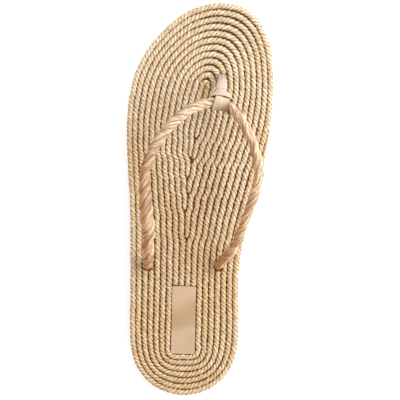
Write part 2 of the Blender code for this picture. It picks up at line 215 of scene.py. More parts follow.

# Leather at the toe
# Colour of the painted shade on the leathers
LEATHER_SHADE = (0.11, 0.06, 0.025, 1)
LEATHER_GRAIN = 2200.0
WRAP_LENGTH = 12.6 * MM
WRAP_SHIFT = 0.8 * MM  # how far its middle lies to the inner side of the post's
WRAP_RINGS = 60
WRAP_SIDES = 40
WRAP_RIM = (0.3 * MM, 50)  # its rounding, and the angle in degrees from which an edge gets it
WRAP_RADIUS = 4.45 * MM
WRAP_LAPS = ((0.0, 0.25 * MM), (0.46, -0.25 * MM), (0.88, 0.2 * MM))  # steps of its laps: share along, rise
LAP_EDGE = 0.03  # length of a step, as a share of the wrap's
WRAP_WALL = 1.0 * MM
WRAP_END_SHADE = 0.5 * MM  # width of the painted shade at its two ends, where it meets the rope
WRAP_FLARE = 0.33  # how much longer it is at its rear, and shorter at its front
WRAP_STEP = 0.5 * MM  # of the strap's line through it
WRAP_STEPS = 24  # to each side of its middle
COLLAR_LENGTH = 5.5 * MM
COLLAR_RINGS = 14
COLLAR_RIM = (0.35 * MM, 45)
COLLAR_LOW = (7.4 * MM, 3.6 * MM)  # width and thickness at the post
COLLAR_HIGH = (15.4 * MM, 5.6 * MM)  # and at the wrap
COLLAR_GAP = 0.9 * MM  # between it and the wrap
COLLAR_HUG = 0.65  # how far it reaches round the wrap, as a share of its seat's radius
SEAT_EDGE = 0.1 * MM
SEAT_LENGTH = WRAP_LENGTH + 10 * MM
SEAT_RINGS = 20
UPRIGHT_SIDES = 48  # of the collar and the post
POST_RINGS = 70
POST_WIDTH = 7.2 * MM
POST_FOOT_WIDTH = 5.6 * MM
POST_THICKNESS = 3.2 * MM
POST_SLOT = (2.0 * MM, 0.8 * MM)  # half of the gap that it leaves in the footbed's rope
POST_BEND = 4.0 * MM  # height over which it begins to lean
POST_ABOVE_ROWS = 1.0 * MM  # height of the middle of that bend
POST_IN_COLLAR = 1.5 * MM
POST_CREASE = 0.74  # place of the fold below the collar, as a share of the post's length above the footbed
CREASE_HEIGHT = 0.5 * MM
CREASE_NIP = (0.05, 0.4)  # how far it narrows and thins the post
CREASE_SHADE = 0.3
POST_GATHERS = 2.5  # folds where it is gathered into the footbed
GATHER_DEPTH = 0.3 * MM
GATHER_HEIGHT = 0.4  # share of the post's length above the footbed
GATHER_SHADE = 0.25

# Label in the heel
LABEL_SIZE = (15.5 * MM, 44 * MM)
LABEL_TURN = math.radians(-1.2)
LABEL_CORNER = 0.8 * MM
LABEL_EDGE = 0.25 * MM
LABEL_ROOM = 0.2 * MM  # between its ends and the rope

# The strap's route, close to that of the solids, in millimetres: across, along from the heel, and the
# height of the rope's middle above the tops of the footbed's rows
ROUTE_ORIGIN = (0.17, 127.52)
STRAP_ROUTE = (
    (-33.4, 84.9, -8.9),
    (-33.4, 84.9, 1.5),
    (-33.5, 88.5, 10.5),
    (-32.8, 98.0, 23.5),
    (-32.8, 113.5, 35.0),
    (-34.2, 129.5, 40.0),
    (-34.2, 144.0, 40.0),
    (-28.4, 160.5, 37.0),
    (-15.7, 177.1, 30.5),
    (-2.7, 186.3, 24.5),
    (6.6, 189.4, 21.0),
    (13.8, 189.0, 20.0),
    (20.8, 186.2, 21.0),
    (27.6, 177.5, 25.5),
    (34.0, 165.5, 32.0),
    (38.0, 152.0, 37.5),
    (38.0, 139.0, 39.5),
    (35.0, 128.8, 38.5),
    (31.0, 117.5, 34.0),
    (24.9, 101.5, 24.0),
    (20.4, 94.0, 16.5),
    (14.9, 88.0, 8.0),
    (12.3, 84.6, 1.5),
    (12.3, 84.6, -8.9),
)
WRAP_ROW = 11  # the route's row in the middle of the wrap
POST_FOOT = (14.6, 207.2)

# How the strap rope changes along its length: share of the length from its outer end, radius and lay in
# millimetres, and how much painted shade it has on its side turned from the light and all round
STRAP_TWIST = (
    (0.000, 2.80, 34, 3.5, 0.30),
    (0.050, 3.20, 34, 3.5, 0.30),
    (0.090, 3.90, 32, 1.8, 0.25),
    (0.130, 4.30, 32, 1.7, 0.15),
    (0.180, 4.60, 30, 1.6, 0.15),
    (0.210, 4.50, 28, 1.6, 0.30),
    (0.240, 4.00, 27, 1.6, 0.50),
    (0.265, 3.50, 26, 1.5, 0.60),
    (0.290, 3.20, 24, 1.3, 0.60),
    (0.330, 3.20, 22, 0.9, 0.50),
    (0.380, 3.20, 23, 0.5, 0.20),
    (0.420, 3.25, 24, 0.4, 0.10),
    (0.460, 3.50, 28, 0.1, 0.00),
    (0.490, 3.50, 34, 0.0, 0.00),
    (0.505, 3.20, 34, 0.3, 0.00),
    (0.530, 3.20, 37, 0.6, 0.00),
    (0.550, 2.80, 40, 0.8, 0.00),
    (0.570, 3.40, 50, 0.9, 0.00),
    (0.630, 2.95, 60, 1.0, 0.00),
    (0.680, 3.05, 50, 1.1, 0.00),
    (0.720, 3.00, 40, 1.2, 0.00),
    (0.800, 2.90, 30, 1.3, 0.00),
    (0.880, 3.20, 27, 1.4, 0.00),
    (0.930, 3.30, 27, 1.5, 0.00),
    (0.950, 2.90, 34, 3.5, 0.00),
    (1.000, 2.70, 34, 3.5, 0.00),
)

COIL_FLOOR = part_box("footbed_coil")[0].z
ROWS_TOP = COIL_FLOOR + COIL_PITCH


# Measures taken from the frame


def place(across, along, height=0.0):
    """A point of the tables above, in the frame."""
    spot = Vector((across - ROUTE_ORIGIN[0], along - ROUTE_ORIGIN[1], height)) * MM
    return spot + Vector((0, 0, ROWS_TOP))


def toe_lift(y):
    """Height that the toe spring adds at a distance y from the middle of the sole."""
    rise = (np.asarray(y) + SOLE_LENGTH / 2 - SPRING_START) / (SOLE_LENGTH - SPRING_START)
    return SPRING_RISE * np.clip(rise, 0, None) ** 2


def sole_edge():
    """The sole's edge in even steps, counter-clockwise from the toe, read from the coil's solid."""
    corners = np.array([v.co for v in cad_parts["footbed_coil"].data.vertices])
    height = corners[:, 2] - toe_lift(corners[:, 1])
    rim = corners[np.abs(height - COIL_FLOOR - COIL_PITCH / 2) < EDGE_NEAR, :2]
    around = np.unique(np.round(rim, 6), axis=0)
    around = around[np.argsort(np.arctan2(around[:, 0], -around[:, 1]))]
    waves = np.fft.fft(around[:, 0] + 1j * around[:, 1])
    turns = np.fft.fftfreq(len(around)) * len(around)
    length = np.linalg.norm(np.roll(around, -1, axis=0) - around, axis=1).sum()
    waves = waves * np.exp(-0.5 * (2 * np.pi * turns * EDGE_SOFTNESS / length) ** 2)
    share = np.arange(EDGE_POINTS) / EDGE_POINTS
    line = (waves[None, :] * np.exp(2j * np.pi * share[:, None] * turns[None, :])).mean(axis=1)
    return np.column_stack([line.real, line.imag])


def inward(edge):
    """The direction into the sole at each point of its edge."""
    along = np.roll(edge, -1, axis=0) - np.roll(edge, 1, axis=0)
    along /= np.linalg.norm(along, axis=1)[:, None]
    return np.column_stack([-along[:, 1], along[:, 0]])


EDGE = sole_edge()


# Lines


def eased(share):
    share = np.clip(share, 0, 1)
    return share * share * (3 - 2 * share)


def lengths_along(points):
    steps = np.linalg.norm(np.diff(points, axis=0), axis=1)
    return np.concatenate([[0.0], np.cumsum(steps)])


def evenly(points, step):
    """The same open line with its points at even distances."""
    reach = lengths_along(points)
    wanted = np.linspace(0, reach[-1], round(reach[-1] / step) + 1)
    return np.column_stack([np.interp(wanted, reach, column) for column in points.T])


def smooth_route(points, step):
    """Points at even distances on the smooth open curve through the given ones."""
    knots = np.array(points, float)
    ends = np.vstack([2 * knots[0] - knots[1], knots, 2 * knots[-1] - knots[-2]])
    curve = []
    for a, b, c, d in zip(ends, ends[1:], ends[2:], ends[3:]):
        for t in np.linspace(0, 1, CURVE_POINTS, endpoint=False):
            bend = 2 * a - 5 * b + 4 * c - d
            swing = 3 * (b - c) + d - a
            curve.append(b + 0.5 * t * (c - a + t * (bend + t * swing)))
    return evenly(np.vstack([curve, knots[-1:]]), step)


def softened(line, softness, step):
    """A line of even points with its sharp turns rounded."""
    reach = int(3 * softness / step)
    weights = np.exp(-0.5 * (np.arange(-reach, reach + 1) * step / softness) ** 2)
    weights /= weights.sum()
    padded = np.vstack([np.repeat(line[:1], reach, axis=0), line, np.repeat(line[-1:], reach, axis=0)])
    return np.column_stack([np.convolve(column, weights, "valid") for column in padded.T])


def unevenness(length, size, waves):
    """A small wander along a rope, from a few waves of unlike lengths."""
    wander = sum(np.sin(2 * np.pi * length / wave + WAVE_SHIFT * k) for k, wave in enumerate(waves))
    return size * wander / len(waves)


def turned_frames(path, first_side):
    """Side and up directions along a path, turned as little as they can be."""
    along = np.gradient(path, axis=0)
    along /= np.linalg.norm(along, axis=1)[:, None]
    side = np.array(first_side, float)
    sides = []
    for direction in along:
        side = side - direction * side.dot(direction)
        side /= np.linalg.norm(side)
        sides.append(side)
    sides = np.array(sides)
    return sides, np.cross(along, sides)


# Modelling helpers


def start_piece():
    """Leaves nothing selected, so that an operator acts on the next new piece alone."""
    bpy.ops.object.select_all(action="DESELECT")


def name_piece(name):
    piece = bpy.context.object
    piece.name = name
    piece.data.name = name
    return piece


def select_edges(piece, wanted):
    """In edit mode, selects the edges that a test of their two ends picks."""
    bpy.ops.mesh.select_mode(type="EDGE")
    bpy.ops.mesh.select_all(action="DESELECT")
    bm = bmesh.from_edit_mesh(piece.data)
    for edge in bm.edges:
        if wanted(*(v.co for v in edge.verts)):
            edge.select_set(True)
    bmesh.update_edit_mesh(piece.data)


def ringed_tube(name, axis, rings, **shape):
    """A cylinder that lies along an axis, with rings enough to bend."""
    start_piece()
    bpy.ops.mesh.primitive_cylinder_add(**shape)
    piece = name_piece(name)
    bpy.ops.object.transform_apply(location=True, rotation=True, scale=True)
    bpy.ops.object.mode_set(mode="EDIT")
    select_edges(piece, lambda a, b: abs((a - b).dot(axis)) > shape["depth"] / 2)
    bpy.ops.mesh.subdivide(number_cuts=rings)
    bpy.ops.object.mode_set(mode="OBJECT")
    return piece


def move_points(piece, where):
    """Moves each vertex to where a function of its place says."""
    for vertex in piece.data.vertices:
        vertex.co = where(vertex.co)
    piece.data.update()


def shade_points(piece, share_of):
    """Notes at each vertex how much painted shade a leather gets there, as a function of its place."""
    layer = piece.data.attributes.new("low", "FLOAT", "POINT")
    for vertex, mark in zip(piece.data.vertices, layer.data):
        mark.value = share_of(vertex.co)


def round_rims(piece, width, angle):
    """Rounds a piece's sharp edges, after the modifiers that it already has."""
    rim = piece.modifiers.new("rim", "BEVEL")
    rim.width = width
    rim.segments = 2
    rim.limit_method = "ANGLE"
    rim.angle_limit = math.radians(angle)
    bpy.context.view_layer.objects.active = piece
    for modifier in list(piece.modifiers):
        bpy.ops.object.modifier_apply(modifier=modifier.name)


def finish_piece(piece, node, material, angle):
    """Gives a piece its finish, its smooth shading and its place in the frame."""
    piece.data.materials.append(material)
    start_piece()
    piece.select_set(True)
    bpy.context.view_layer.objects.active = piece
    bpy.ops.object.shade_smooth_by_angle(angle=math.radians(angle))
    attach(piece, "root")
    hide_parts(node)


# Material helpers. Where they take a value, it may be a plain one or the socket that gives it


SOCKETS = {"colours": "NodeSocketColor", "values": "NodeSocketFloat", "vectors": "NodeSocketVector"}


def feed(tree, socket, value):
    if isinstance(value, bpy.types.NodeSocket):
        tree.links.new(value, socket)
    else:
        socket.default_value = value


def add_node(tree, kind, **inputs):
    """A new node with some of its inputs, named with _ for a space."""
    node = tree.nodes.new(kind)
    for name, value in inputs.items():
        feed(tree, node.inputs[name.replace("_", " ")], value)
    return node


def do_maths(tree, operation, first, second=0.0, clamp=False):
    maths = tree.nodes.new("ShaderNodeMath")
    maths.operation = operation
    maths.use_clamp = clamp
    feed(tree, maths.inputs[0], first)
    feed(tree, maths.inputs[1], second)
    return maths.outputs[0]


def mix_values(tree, factor, first, second):
    """Of a Mix node's inputs, 0 is the factor, 2 and 3 take values, and 6 and 7 take colours."""
    mix = tree.nodes.new("ShaderNodeMix")
    for number, value in ((0, factor), (2, first), (3, second)):
        feed(tree, mix.inputs[number], value)
    return mix.outputs[0]


def mix_colours(tree, factor, first, second, blend="MIX"):
    mix = tree.nodes.new("ShaderNodeMix")
    mix.data_type = "RGBA"
    mix.blend_type = blend
    for number, value in ((0, factor), (6, first), (7, second)):
        feed(tree, mix.inputs[number], value)
    return mix.outputs[2]


def spread(tree, value, low, high, least=0.0, most=1.0):
    """Spreads what lies between two bounds out to between two others."""
    bounds = {"From_Min": low, "From_Max": high, "To_Min": least, "To_Max": most}
    return add_node(tree, "ShaderNodeMapRange", Value=value, **bounds).outputs[0]


def attribute_value(tree, name):
    attribute = tree.nodes.new("ShaderNodeAttribute")
    attribute.attribute_name = name
    return attribute.outputs["Fac"]


def object_place(tree):
    return tree.nodes.new("ShaderNodeTexCoord").outputs["Object"]


def noise_value(tree, where, scale, detail, roughness=0.5):
    values = {"Scale": scale, "Detail": detail, "Roughness": roughness}
    return add_node(tree, "ShaderNodeTexNoise", Vector=where, **values).outputs[0]


def pebble_value(tree, where, scale):
    return add_node(tree, "ShaderNodeTexVoronoi", Vector=where, Scale=scale).outputs["Distance"]


def strand_coordinates(tree):
    """A rope's coordinates along its length and across its strands."""
    strand = tree.nodes.new("ShaderNodeUVMap")
    strand.uv_map = "strand"
    parts = add_node(tree, "ShaderNodeSeparateXYZ", Vector=strand.outputs["UV"])
    return parts.outputs["X"], parts.outputs["Y"]


def new_group(name, made_values, **taken):
    """An empty shader group that takes named sockets, and makes a colour and some values."""
    group = bpy.data.node_groups.new(name, "ShaderNodeTree")
    for kind, sockets in taken.items():
        for socket in sockets:
            group.interface.new_socket(socket, in_out="INPUT", socket_type=SOCKETS[kind])
    group.interface.new_socket("Colour", in_out="OUTPUT", socket_type=SOCKETS["colours"])
    for socket in made_values:
        group.interface.new_socket(socket, in_out="OUTPUT", socket_type=SOCKETS["values"])
    return group, group.nodes.new("NodeGroupInput").outputs, group.nodes.new("NodeGroupOutput").inputs


def new_material(name):
    """A new material, its node tree and the inputs of its shader."""
    material = bpy.data.materials.new(name)
    material.use_nodes = True
    return material, material.node_tree, material.node_tree.nodes["Principled BSDF"].inputs


def srgb(red, green, blue):
    """A colour as a picture shows it, from 0 to 255, as Blender wants it."""
    linear = []
    for part in (red, green, blue):
        part /= 255
        linear.append(part / 12.92 if part <= 0.04045 else ((part + 0.055) / 1.055) ** 2.4)
    return (*linear, 1.0)


# Shader groups


def fibre_group():
    """Twisted fibres: streaks and flecks along each strand, with painted shade in the furrows, between the
    plies and in low places, and a tint of painted shade where it is marked.
    """
    group, given, made = new_group(
        "Twisted fibres", ("Height", "Roughness"),
        colours=("Pale", "Deep", "Furrow", "Low", "Tan"),
        values=(
            "Streaks along", "Streaks across", "Flecks along", "Flecks across", "Fleck share", "Strand share",
            "Ply strength", "Contrast", "Lightness", "Furrow strength", "Low on tops",
        ),
    )
    along, across = strand_coordinates(group)

    maths = partial(do_maths, group)

    def marks(along_scale, place_across, across_scale, detail, bounds):
        """A noise over the strand coordinates, spread from 0 to 1."""
        x = maths("MULTIPLY", along, along_scale)
        y = maths("MULTIPLY", place_across, across_scale)
        where = add_node(group, "ShaderNodeCombineXYZ", X=x, Y=y).outputs[0]
        return spread(group, noise_value(group, where, 1.0, detail, roughness=0.6), *bounds)

    streaks = marks(given["Streaks along"], across, given["Streaks across"], 4.0, STREAK_RANGE)
    flecks = marks(given["Flecks along"], across, given["Flecks across"], 2.0, FLECK_RANGE)
    number = maths("MODULO", maths("ROUND", across), float(ROPE_STRANDS))
    strands = marks(STRAND_PATCH, number, STRAND_APART, 1.0, STREAK_RANGE)
    tone = mix_values(group, given["Fleck share"], streaks, flecks)
    tone = mix_values(group, given["Strand share"], tone, strands)
    tone = maths("MULTIPLY", maths("SUBTRACT", tone, 0.5), given["Contrast"])
    tone = maths("ADD", tone, given["Lightness"], clamp=True)
    colour = mix_colours(group, tone, given["Deep"], given["Pale"])
    ply = maths("FRACT", maths("MULTIPLY", across, PLIES))
    between = spread(group, maths("ABSOLUTE", maths("SUBTRACT", ply, 0.5)), *PLY_EDGE)
    # Painted shade in the crevices between plies
    ply_shade = maths("MULTIPLY", maths("SUBTRACT", 1.0, streaks), between)
    colour = mix_colours(group, maths("MULTIPLY", ply_shade, given["Ply strength"]), colour, given["Furrow"])
    # Painted shade in the furrows between strands, and in the rope's low places, lighter on the strands' tops
    furrow = attribute_value(group, "furrow")
    furrow_shade = maths("MULTIPLY", maths("POWER", furrow, FURROW_POWER), given["Furrow strength"])
    colour = mix_colours(group, furrow_shade, colour, given["Furrow"])
    dotted = mix_values(group, furrow, given["Low on tops"], 1.0)
    shaded = maths("MULTIPLY", attribute_value(group, "low"), dotted)
    colour = mix_colours(group, shaded, colour, given["Low"])
    # Painted shadow and side shade: the colour is multiplied toward a tint by the share marked at each point
    colour = mix_colours(group, attribute_value(group, "tan"), colour, given["Tan"], "MULTIPLY")
    feed(group, made["Colour"], colour)
    feed(group, made["Height"], mix_values(group, 0.5, streaks, flecks))
    feed(group, made["Roughness"], mix_values(group, streaks, 0.75, 0.55))
    return group


def leather_group():
    """Smooth leather: soft cloudy tone, fine grain, and painted shade where its points are marked for it."""
    group, given, made = new_group(
        "Soft leather", ("Height", "Roughness"),
        colours=("Pale", "Deep", "Edge"), values=("Cloud size", "Grain size"),
    )
    where = object_place(group)
    cloud = noise_value(group, where, given["Cloud size"], 3.0)
    colour = mix_colours(group, spread(group, cloud, 0.35, 0.65), given["Deep"], given["Pale"])
    colour = mix_colours(group, attribute_value(group, "low"), colour, given["Edge"])
    feed(group, made["Colour"], colour)
    feed(group, made["Height"], pebble_value(group, where, given["Grain size"]))
    feed(group, made["Roughness"], spread(group, cloud, 0.0, 1.0, 0.42, 0.56))
    return group


def tint_group():
    """A tint that comes in along a direction, between two distances from the frame's origin."""
    group, given, made = new_group(
        "Tint along", (), colours=("Colour", "Tint"), vectors=("Way",), values=("Start", "End")
    )
    along = group.nodes.new("ShaderNodeVectorMath")
    along.operation = "DOT_PRODUCT"
    feed(group, along.inputs[0], object_place(group))
    feed(group, along.inputs[1], given["Way"])
    share = spread(group, along.outputs["Value"], given["Start"], given["End"])
    share.node.interpolation_type = "SMOOTHSTEP"
    feed(group, made["Colour"], mix_colours(group, share, given["Colour"], given["Tint"], "MULTIPLY"))
    return group


FIBRES = fibre_group()
LEATHER = leather_group()
TINT = tint_group()


# Finishes


def grouped_material(name, group, bump, depth, gloss, **values):
    """A material whose colour, bump and roughness come from one group."""
    material, tree, shader = new_material(name)
    shader["Specular IOR Level"].default_value = gloss
    effect = tree.nodes.new("ShaderNodeGroup")
    effect.node_tree = group
    for socket, value in values.items():
        effect.inputs[socket.replace("_", " ")].default_value = value
    relief = add_node(tree, "ShaderNodeBump", Strength=bump, Distance=depth, Height=effect.outputs["Height"])
    feed(tree, shader["Base Color"], effect.outputs["Colour"])
    feed(tree, shader["Roughness"], effect.outputs["Roughness"])
    feed(tree, shader["Normal"], relief.outputs["Normal"])
    return material


def tinted_along(material, origin, way, start, end, tint):
    """Multiplies a material's colour by a tint that comes in between two distances from an origin."""
    tree = material.node_tree
    base = tree.nodes["Principled BSDF"].inputs["Base Color"]
    shade = tree.nodes.new("ShaderNodeGroup")
    shade.node_tree = TINT
    way = Vector(way).normalized()
    from_frame = Vector(origin).dot(way)
    values = {"Tint": (*tint, 1), "Way": way, "Start": from_frame + start, "End": from_frame + end}
    for socket, value in values.items():
        shade.inputs[socket].default_value = value
    feed(tree, shade.inputs["Colour"], base.links[0].from_socket)
    feed(tree, base, shade.outputs["Colour"])


def straw_rope_finish():
    # Furrow and Low are colours of painted shade, and the multiplied tint is that of the painted shadow bands
    return grouped_material(
        "straw_rope", FIBRES, bump=0.9, depth=0.35 * MM, gloss=0.05,
        Pale=srgb(251, 237, 210), Deep=srgb(186, 150, 100), Furrow=srgb(164, 110, 36), Low=srgb(130, 69, 0),
        Tan=(0.88, 0.79, 0.67, 1), Streaks_along=5.0, Streaks_across=2.5, Flecks_along=9.0,
        Flecks_across=1.5, Fleck_share=0.6, Strand_share=0.2, Ply_strength=0.0, Contrast=1.15,
        Lightness=0.58, Furrow_strength=0.78, Low_on_tops=0.5,
    )


def raffia_rope_finish():
    # Furrow and Low are colours of painted shade, and the multiplied tint is that of the painted side shade
    return grouped_material(
        "raffia_rope", FIBRES, bump=0.8, depth=0.4 * MM, gloss=0.1,
        Pale=srgb(247, 227, 198), Deep=srgb(188, 151, 112), Furrow=srgb(120, 78, 40), Low=srgb(148, 98, 54),
        Tan=(0.96, 0.72, 0.52, 1), Streaks_along=1.3, Streaks_across=5.5, Flecks_along=6.0,
        Flecks_across=6.0, Fleck_share=0.4, Strand_share=0.1, Ply_strength=0.95, Contrast=1.25,
        Lightness=0.61, Furrow_strength=0.4, Low_on_tops=0.6,
    )


def leather_material(name, **values):
    return grouped_material(name, LEATHER, Edge=LEATHER_SHADE, Grain_size=LEATHER_GRAIN, **values)


def wrap_leather_finish():
    """Pale leather, with painted shade where the wrap turns under toward the heel and its inner side, and
    lighter on the collar.
    """
    leather = leather_material(
        "wrap_leather", bump=0.08, depth=0.1 * MM, gloss=0.4,
        Pale=srgb(208, 187, 162), Deep=srgb(190, 165, 136), Cloud_size=160.0,
    )
    middle, way = place(*STRAP_ROUTE[WRAP_ROW]), (0.45, -0.89, 0)
    # Painted shade on the wrap's rear, where it turns under
    tinted_along(leather, middle, way, start=0.8 * MM, end=4.6 * MM, tint=(0.64, 0.46, 0.34))
    tinted_along(leather, middle, way, start=-4 * MM, end=-6 * MM, tint=(1.04, 1.1, 1.24))
    return leather


def post_leather_finish():
    """Pale rosy leather, greyer where it is gathered into the footbed."""
    leather = leather_material(
        "post_leather", bump=0.06, depth=0.1 * MM, gloss=0.4,
        Pale=srgb(218, 197, 178), Deep=srgb(198, 173, 161), Cloud_size=230.0,
    )
    foot, way = place(*POST_FOOT), (0, 1, 0)
    tinted_along(leather, foot, way, start=-4.5 * MM, end=0.5 * MM, tint=(0.72, 0.68, 0.72))
    return leather


def label_finish():
    """Satin with a painted sheen: lighter to both ends, with a slanting edge of the gleam below its middle.
    """
    satin = leather_material(
        "label_satin", bump=0.03, depth=0.05 * MM, gloss=0.1,
        Pale=srgb(196, 169, 139), Deep=srgb(190, 162, 130), Cloud_size=60.0,
    )
    middle, way = label_middle(), (-0.25, 1, 0)
    # Painted sheen: dimmer from below the middle up, then lighter toward the far end
    tinted_along(satin, middle, way, start=-7 * MM, end=-2.5 * MM, tint=(0.84, 0.81, 0.72))
    tinted_along(satin, middle, way, start=4 * MM, end=18 * MM, tint=(1.28, 1.32, 1.5))
    return satin


def rubber_finish():
    """Matt moulded rubber with a fine pebbled face."""
    material, tree, shader = new_material("tan_rubber")
    where = object_place(tree)
    clouds = noise_value(tree, where, 45.0, 4.0)
    pebbles = pebble_value(tree, where, 900.0)
    relief = add_node(tree, "ShaderNodeBump", Strength=0.2, Distance=0.1 * MM, Height=pebbles)
    feed(tree, shader["Base Color"], mix_colours(tree, clouds, srgb(142, 112, 84), srgb(172, 140, 108)))
    feed(tree, shader["Roughness"], spread(tree, clouds, 0.0, 1.0, 0.65, 0.85))
    feed(tree, shader["Normal"], relief.outputs["Normal"])
    return material


def backing_finish():
    """The glued cloth under the coil, seen only deep between rows, painted dark brown as the shade there."""
    material, tree, shader = new_material("coil_backing")
    weave = noise_value(tree, object_place(tree), 700.0, 2.0)
    feed(tree, shader["Base Color"], mix_colours(tree, weave, srgb(88, 58, 32), srgb(122, 86, 52)))
    shader["Roughness"].default_value = 0.9
    return material


# Ropes

RopeRun = namedtuple("RopeRun", "path half_width half_height side up twist length groove tan two_sided")


def strand_section(points_across, centre):
    """Round a rope: share of the turn, reach from the middle, depth in a furrow, and number of the strand."""
    count = ROPE_STRANDS * points_across
    turn = np.arange(count) / count
    strand = np.round(turn * ROPE_STRANDS)
    off = (turn * ROPE_STRANDS - strand) * 2 * np.pi / ROPE_STRANDS
    reach = centre * np.cos(off) + np.sqrt((1 - centre) ** 2 - (centre * np.sin(off)) ** 2)
    return turn, reach, (1 - reach) / (1 - reach.min()), strand % ROPE_STRANDS


def shaded_by_side(tan, facing):
    """How much painted side shade the strap gets at places that face its lit side by given shares."""
    return tan * np.clip(0.5 + SIDE_SHADE_SLOPE * (SIDE_SHADE_FROM - facing), SIDE_SHADE_LEAST, 1)


def rope_points(run, section):
    """The points of one length of rope, ring by ring, how much painted shade each gets, and the share of its
    shade tint.
    """
    turn, reach, _, strand = section
    waves = 2 * np.pi * run.length[:, None]
    swell = sum(np.sin(waves / wave + shift * strand[None, :]) for wave, shift in STRAND_SWELLS)
    angle = 2 * np.pi * turn[None, :] + run.twist[:, None]
    arm = reach[None, :] * (1 + STRAND_SWELL * swell)
    aside = (arm * np.cos(angle) * run.half_width[:, None])[:, :, None] * run.side[:, None, :]
    above = (arm * np.sin(angle) * run.half_height[:, None])[:, :, None] * run.up[:, None, :]
    outward = aside + above
    points = run.path[:, None, :] + outward
    tan = np.repeat(run.tan[:, None], len(turn), axis=1)
    if run.two_sided:
        # Painted side shade: the side turned from the light is tinted, and more than fully tinted rope is
        # also darkened
        tan = shaded_by_side(tan, outward @ LIT_SIDE / np.linalg.norm(outward, axis=2))
        low = np.maximum(run.groove[:, None], np.clip(tan - 1, 0, 1) * OVER_SHADE)
    else:
        # Painted shade on the lower flanks of laid rope, deep in the grooves between rows, and in the holes'
        # mouths
        low = run.groove[:, None] * np.clip((LOW_FROM - arm * np.sin(angle)) / (LOW_FROM - LOW_TO), 0, 1)
        low = np.maximum(low, mouth_shade(points[:, :, 0], points[:, :, 1]))
    return points.reshape(-1, 3), low.ravel(), np.clip(tan, 0, 1).ravel()


def rope_faces(rings, count, left_handed):
    """Four-sided faces between rings, listed so that each splits along the lay."""
    ring, k = np.meshgrid(np.arange(rings - 1), np.arange(count), indexing="ij")
    a, b = ring * count + k, ring * count + (k + 1) % count
    c, d = b + count, a + count
    return np.stack((a, b, c, d) if left_handed else (b, c, d, a), axis=2).reshape(-1, 4)


def rope_piece(name, runs, section):
    """A mesh of one or more lengths of rope, each with closed ends and with coordinates along its strands."""
    turn, _, furrow, _ = section
    count = len(turn)
    points, faces, furrows, lows, shades_and_tones, coords = [], [], [], [], [], []
    base = 0
    for run in runs:
        rings = len(run.path)
        run_points, low, tan = rope_points(run, section)
        run_faces = rope_faces(rings, count, run.twist[-1] < run.twist[0])
        points.append(run_points)
        furrows.append(np.tile(furrow, rings))
        lows.append(low)
        shades_and_tones.append(tan)
        faces.extend((run_faces + base).tolist())
        ring, k = run_faces // count, run_faces % count
        at_seam = (k == 0) & (k.max(axis=1) == count - 1)[:, None]
        across = np.where(at_seam, count, k) / count * ROPE_STRANDS
        coords.append(np.stack([run.length[ring] / STRAND_UNIT, across], axis=2).reshape(-1, 2))
        for end in (0, rings - 1):
            cap = list(range(base + end * count, base + (end + 1) * count))
            faces.append(cap if end else cap[::-1])
            end_length = np.full(count, run.length[end] / STRAND_UNIT)
            end_coords = np.column_stack([end_length, turn * ROPE_STRANDS])
            coords.append(end_coords if end else end_coords[::-1])
        base += len(run_points)
    mesh = bpy.data.meshes.new(name)
    mesh.from_pydata(np.vstack(points).tolist(), [], faces)
    strand_map = mesh.uv_layers.new(name="strand")
    strand_map.data.foreach_set("uv", np.vstack(coords).astype(np.float32).ravel())
    for attribute, values in (("furrow", furrows), ("low", lows), ("tan", shades_and_tones)):
        layer = mesh.attributes.new(attribute, "FLOAT", "POINT")
        layer.data.foreach_set("value", np.concatenate(values).astype(np.float32))
    piece = bpy.data.objects.new(name, mesh)
    bpy.context.scene.collection.objects.link(piece)
    return piece


# Footbed


def row_growth(seam_along, ends):
    """Width, as a share of a full row, of the rows that end on the seam, for places along the seam."""
    past = seam_along[None, :] - np.array(ends)[:, None] * MM
    tip = eased((past + TIP_STEP) / (2 * TIP_STEP))
    return BLUNT_TIP * tip + (1 - BLUNT_TIP) * eased(past / TIP_GROWTH)


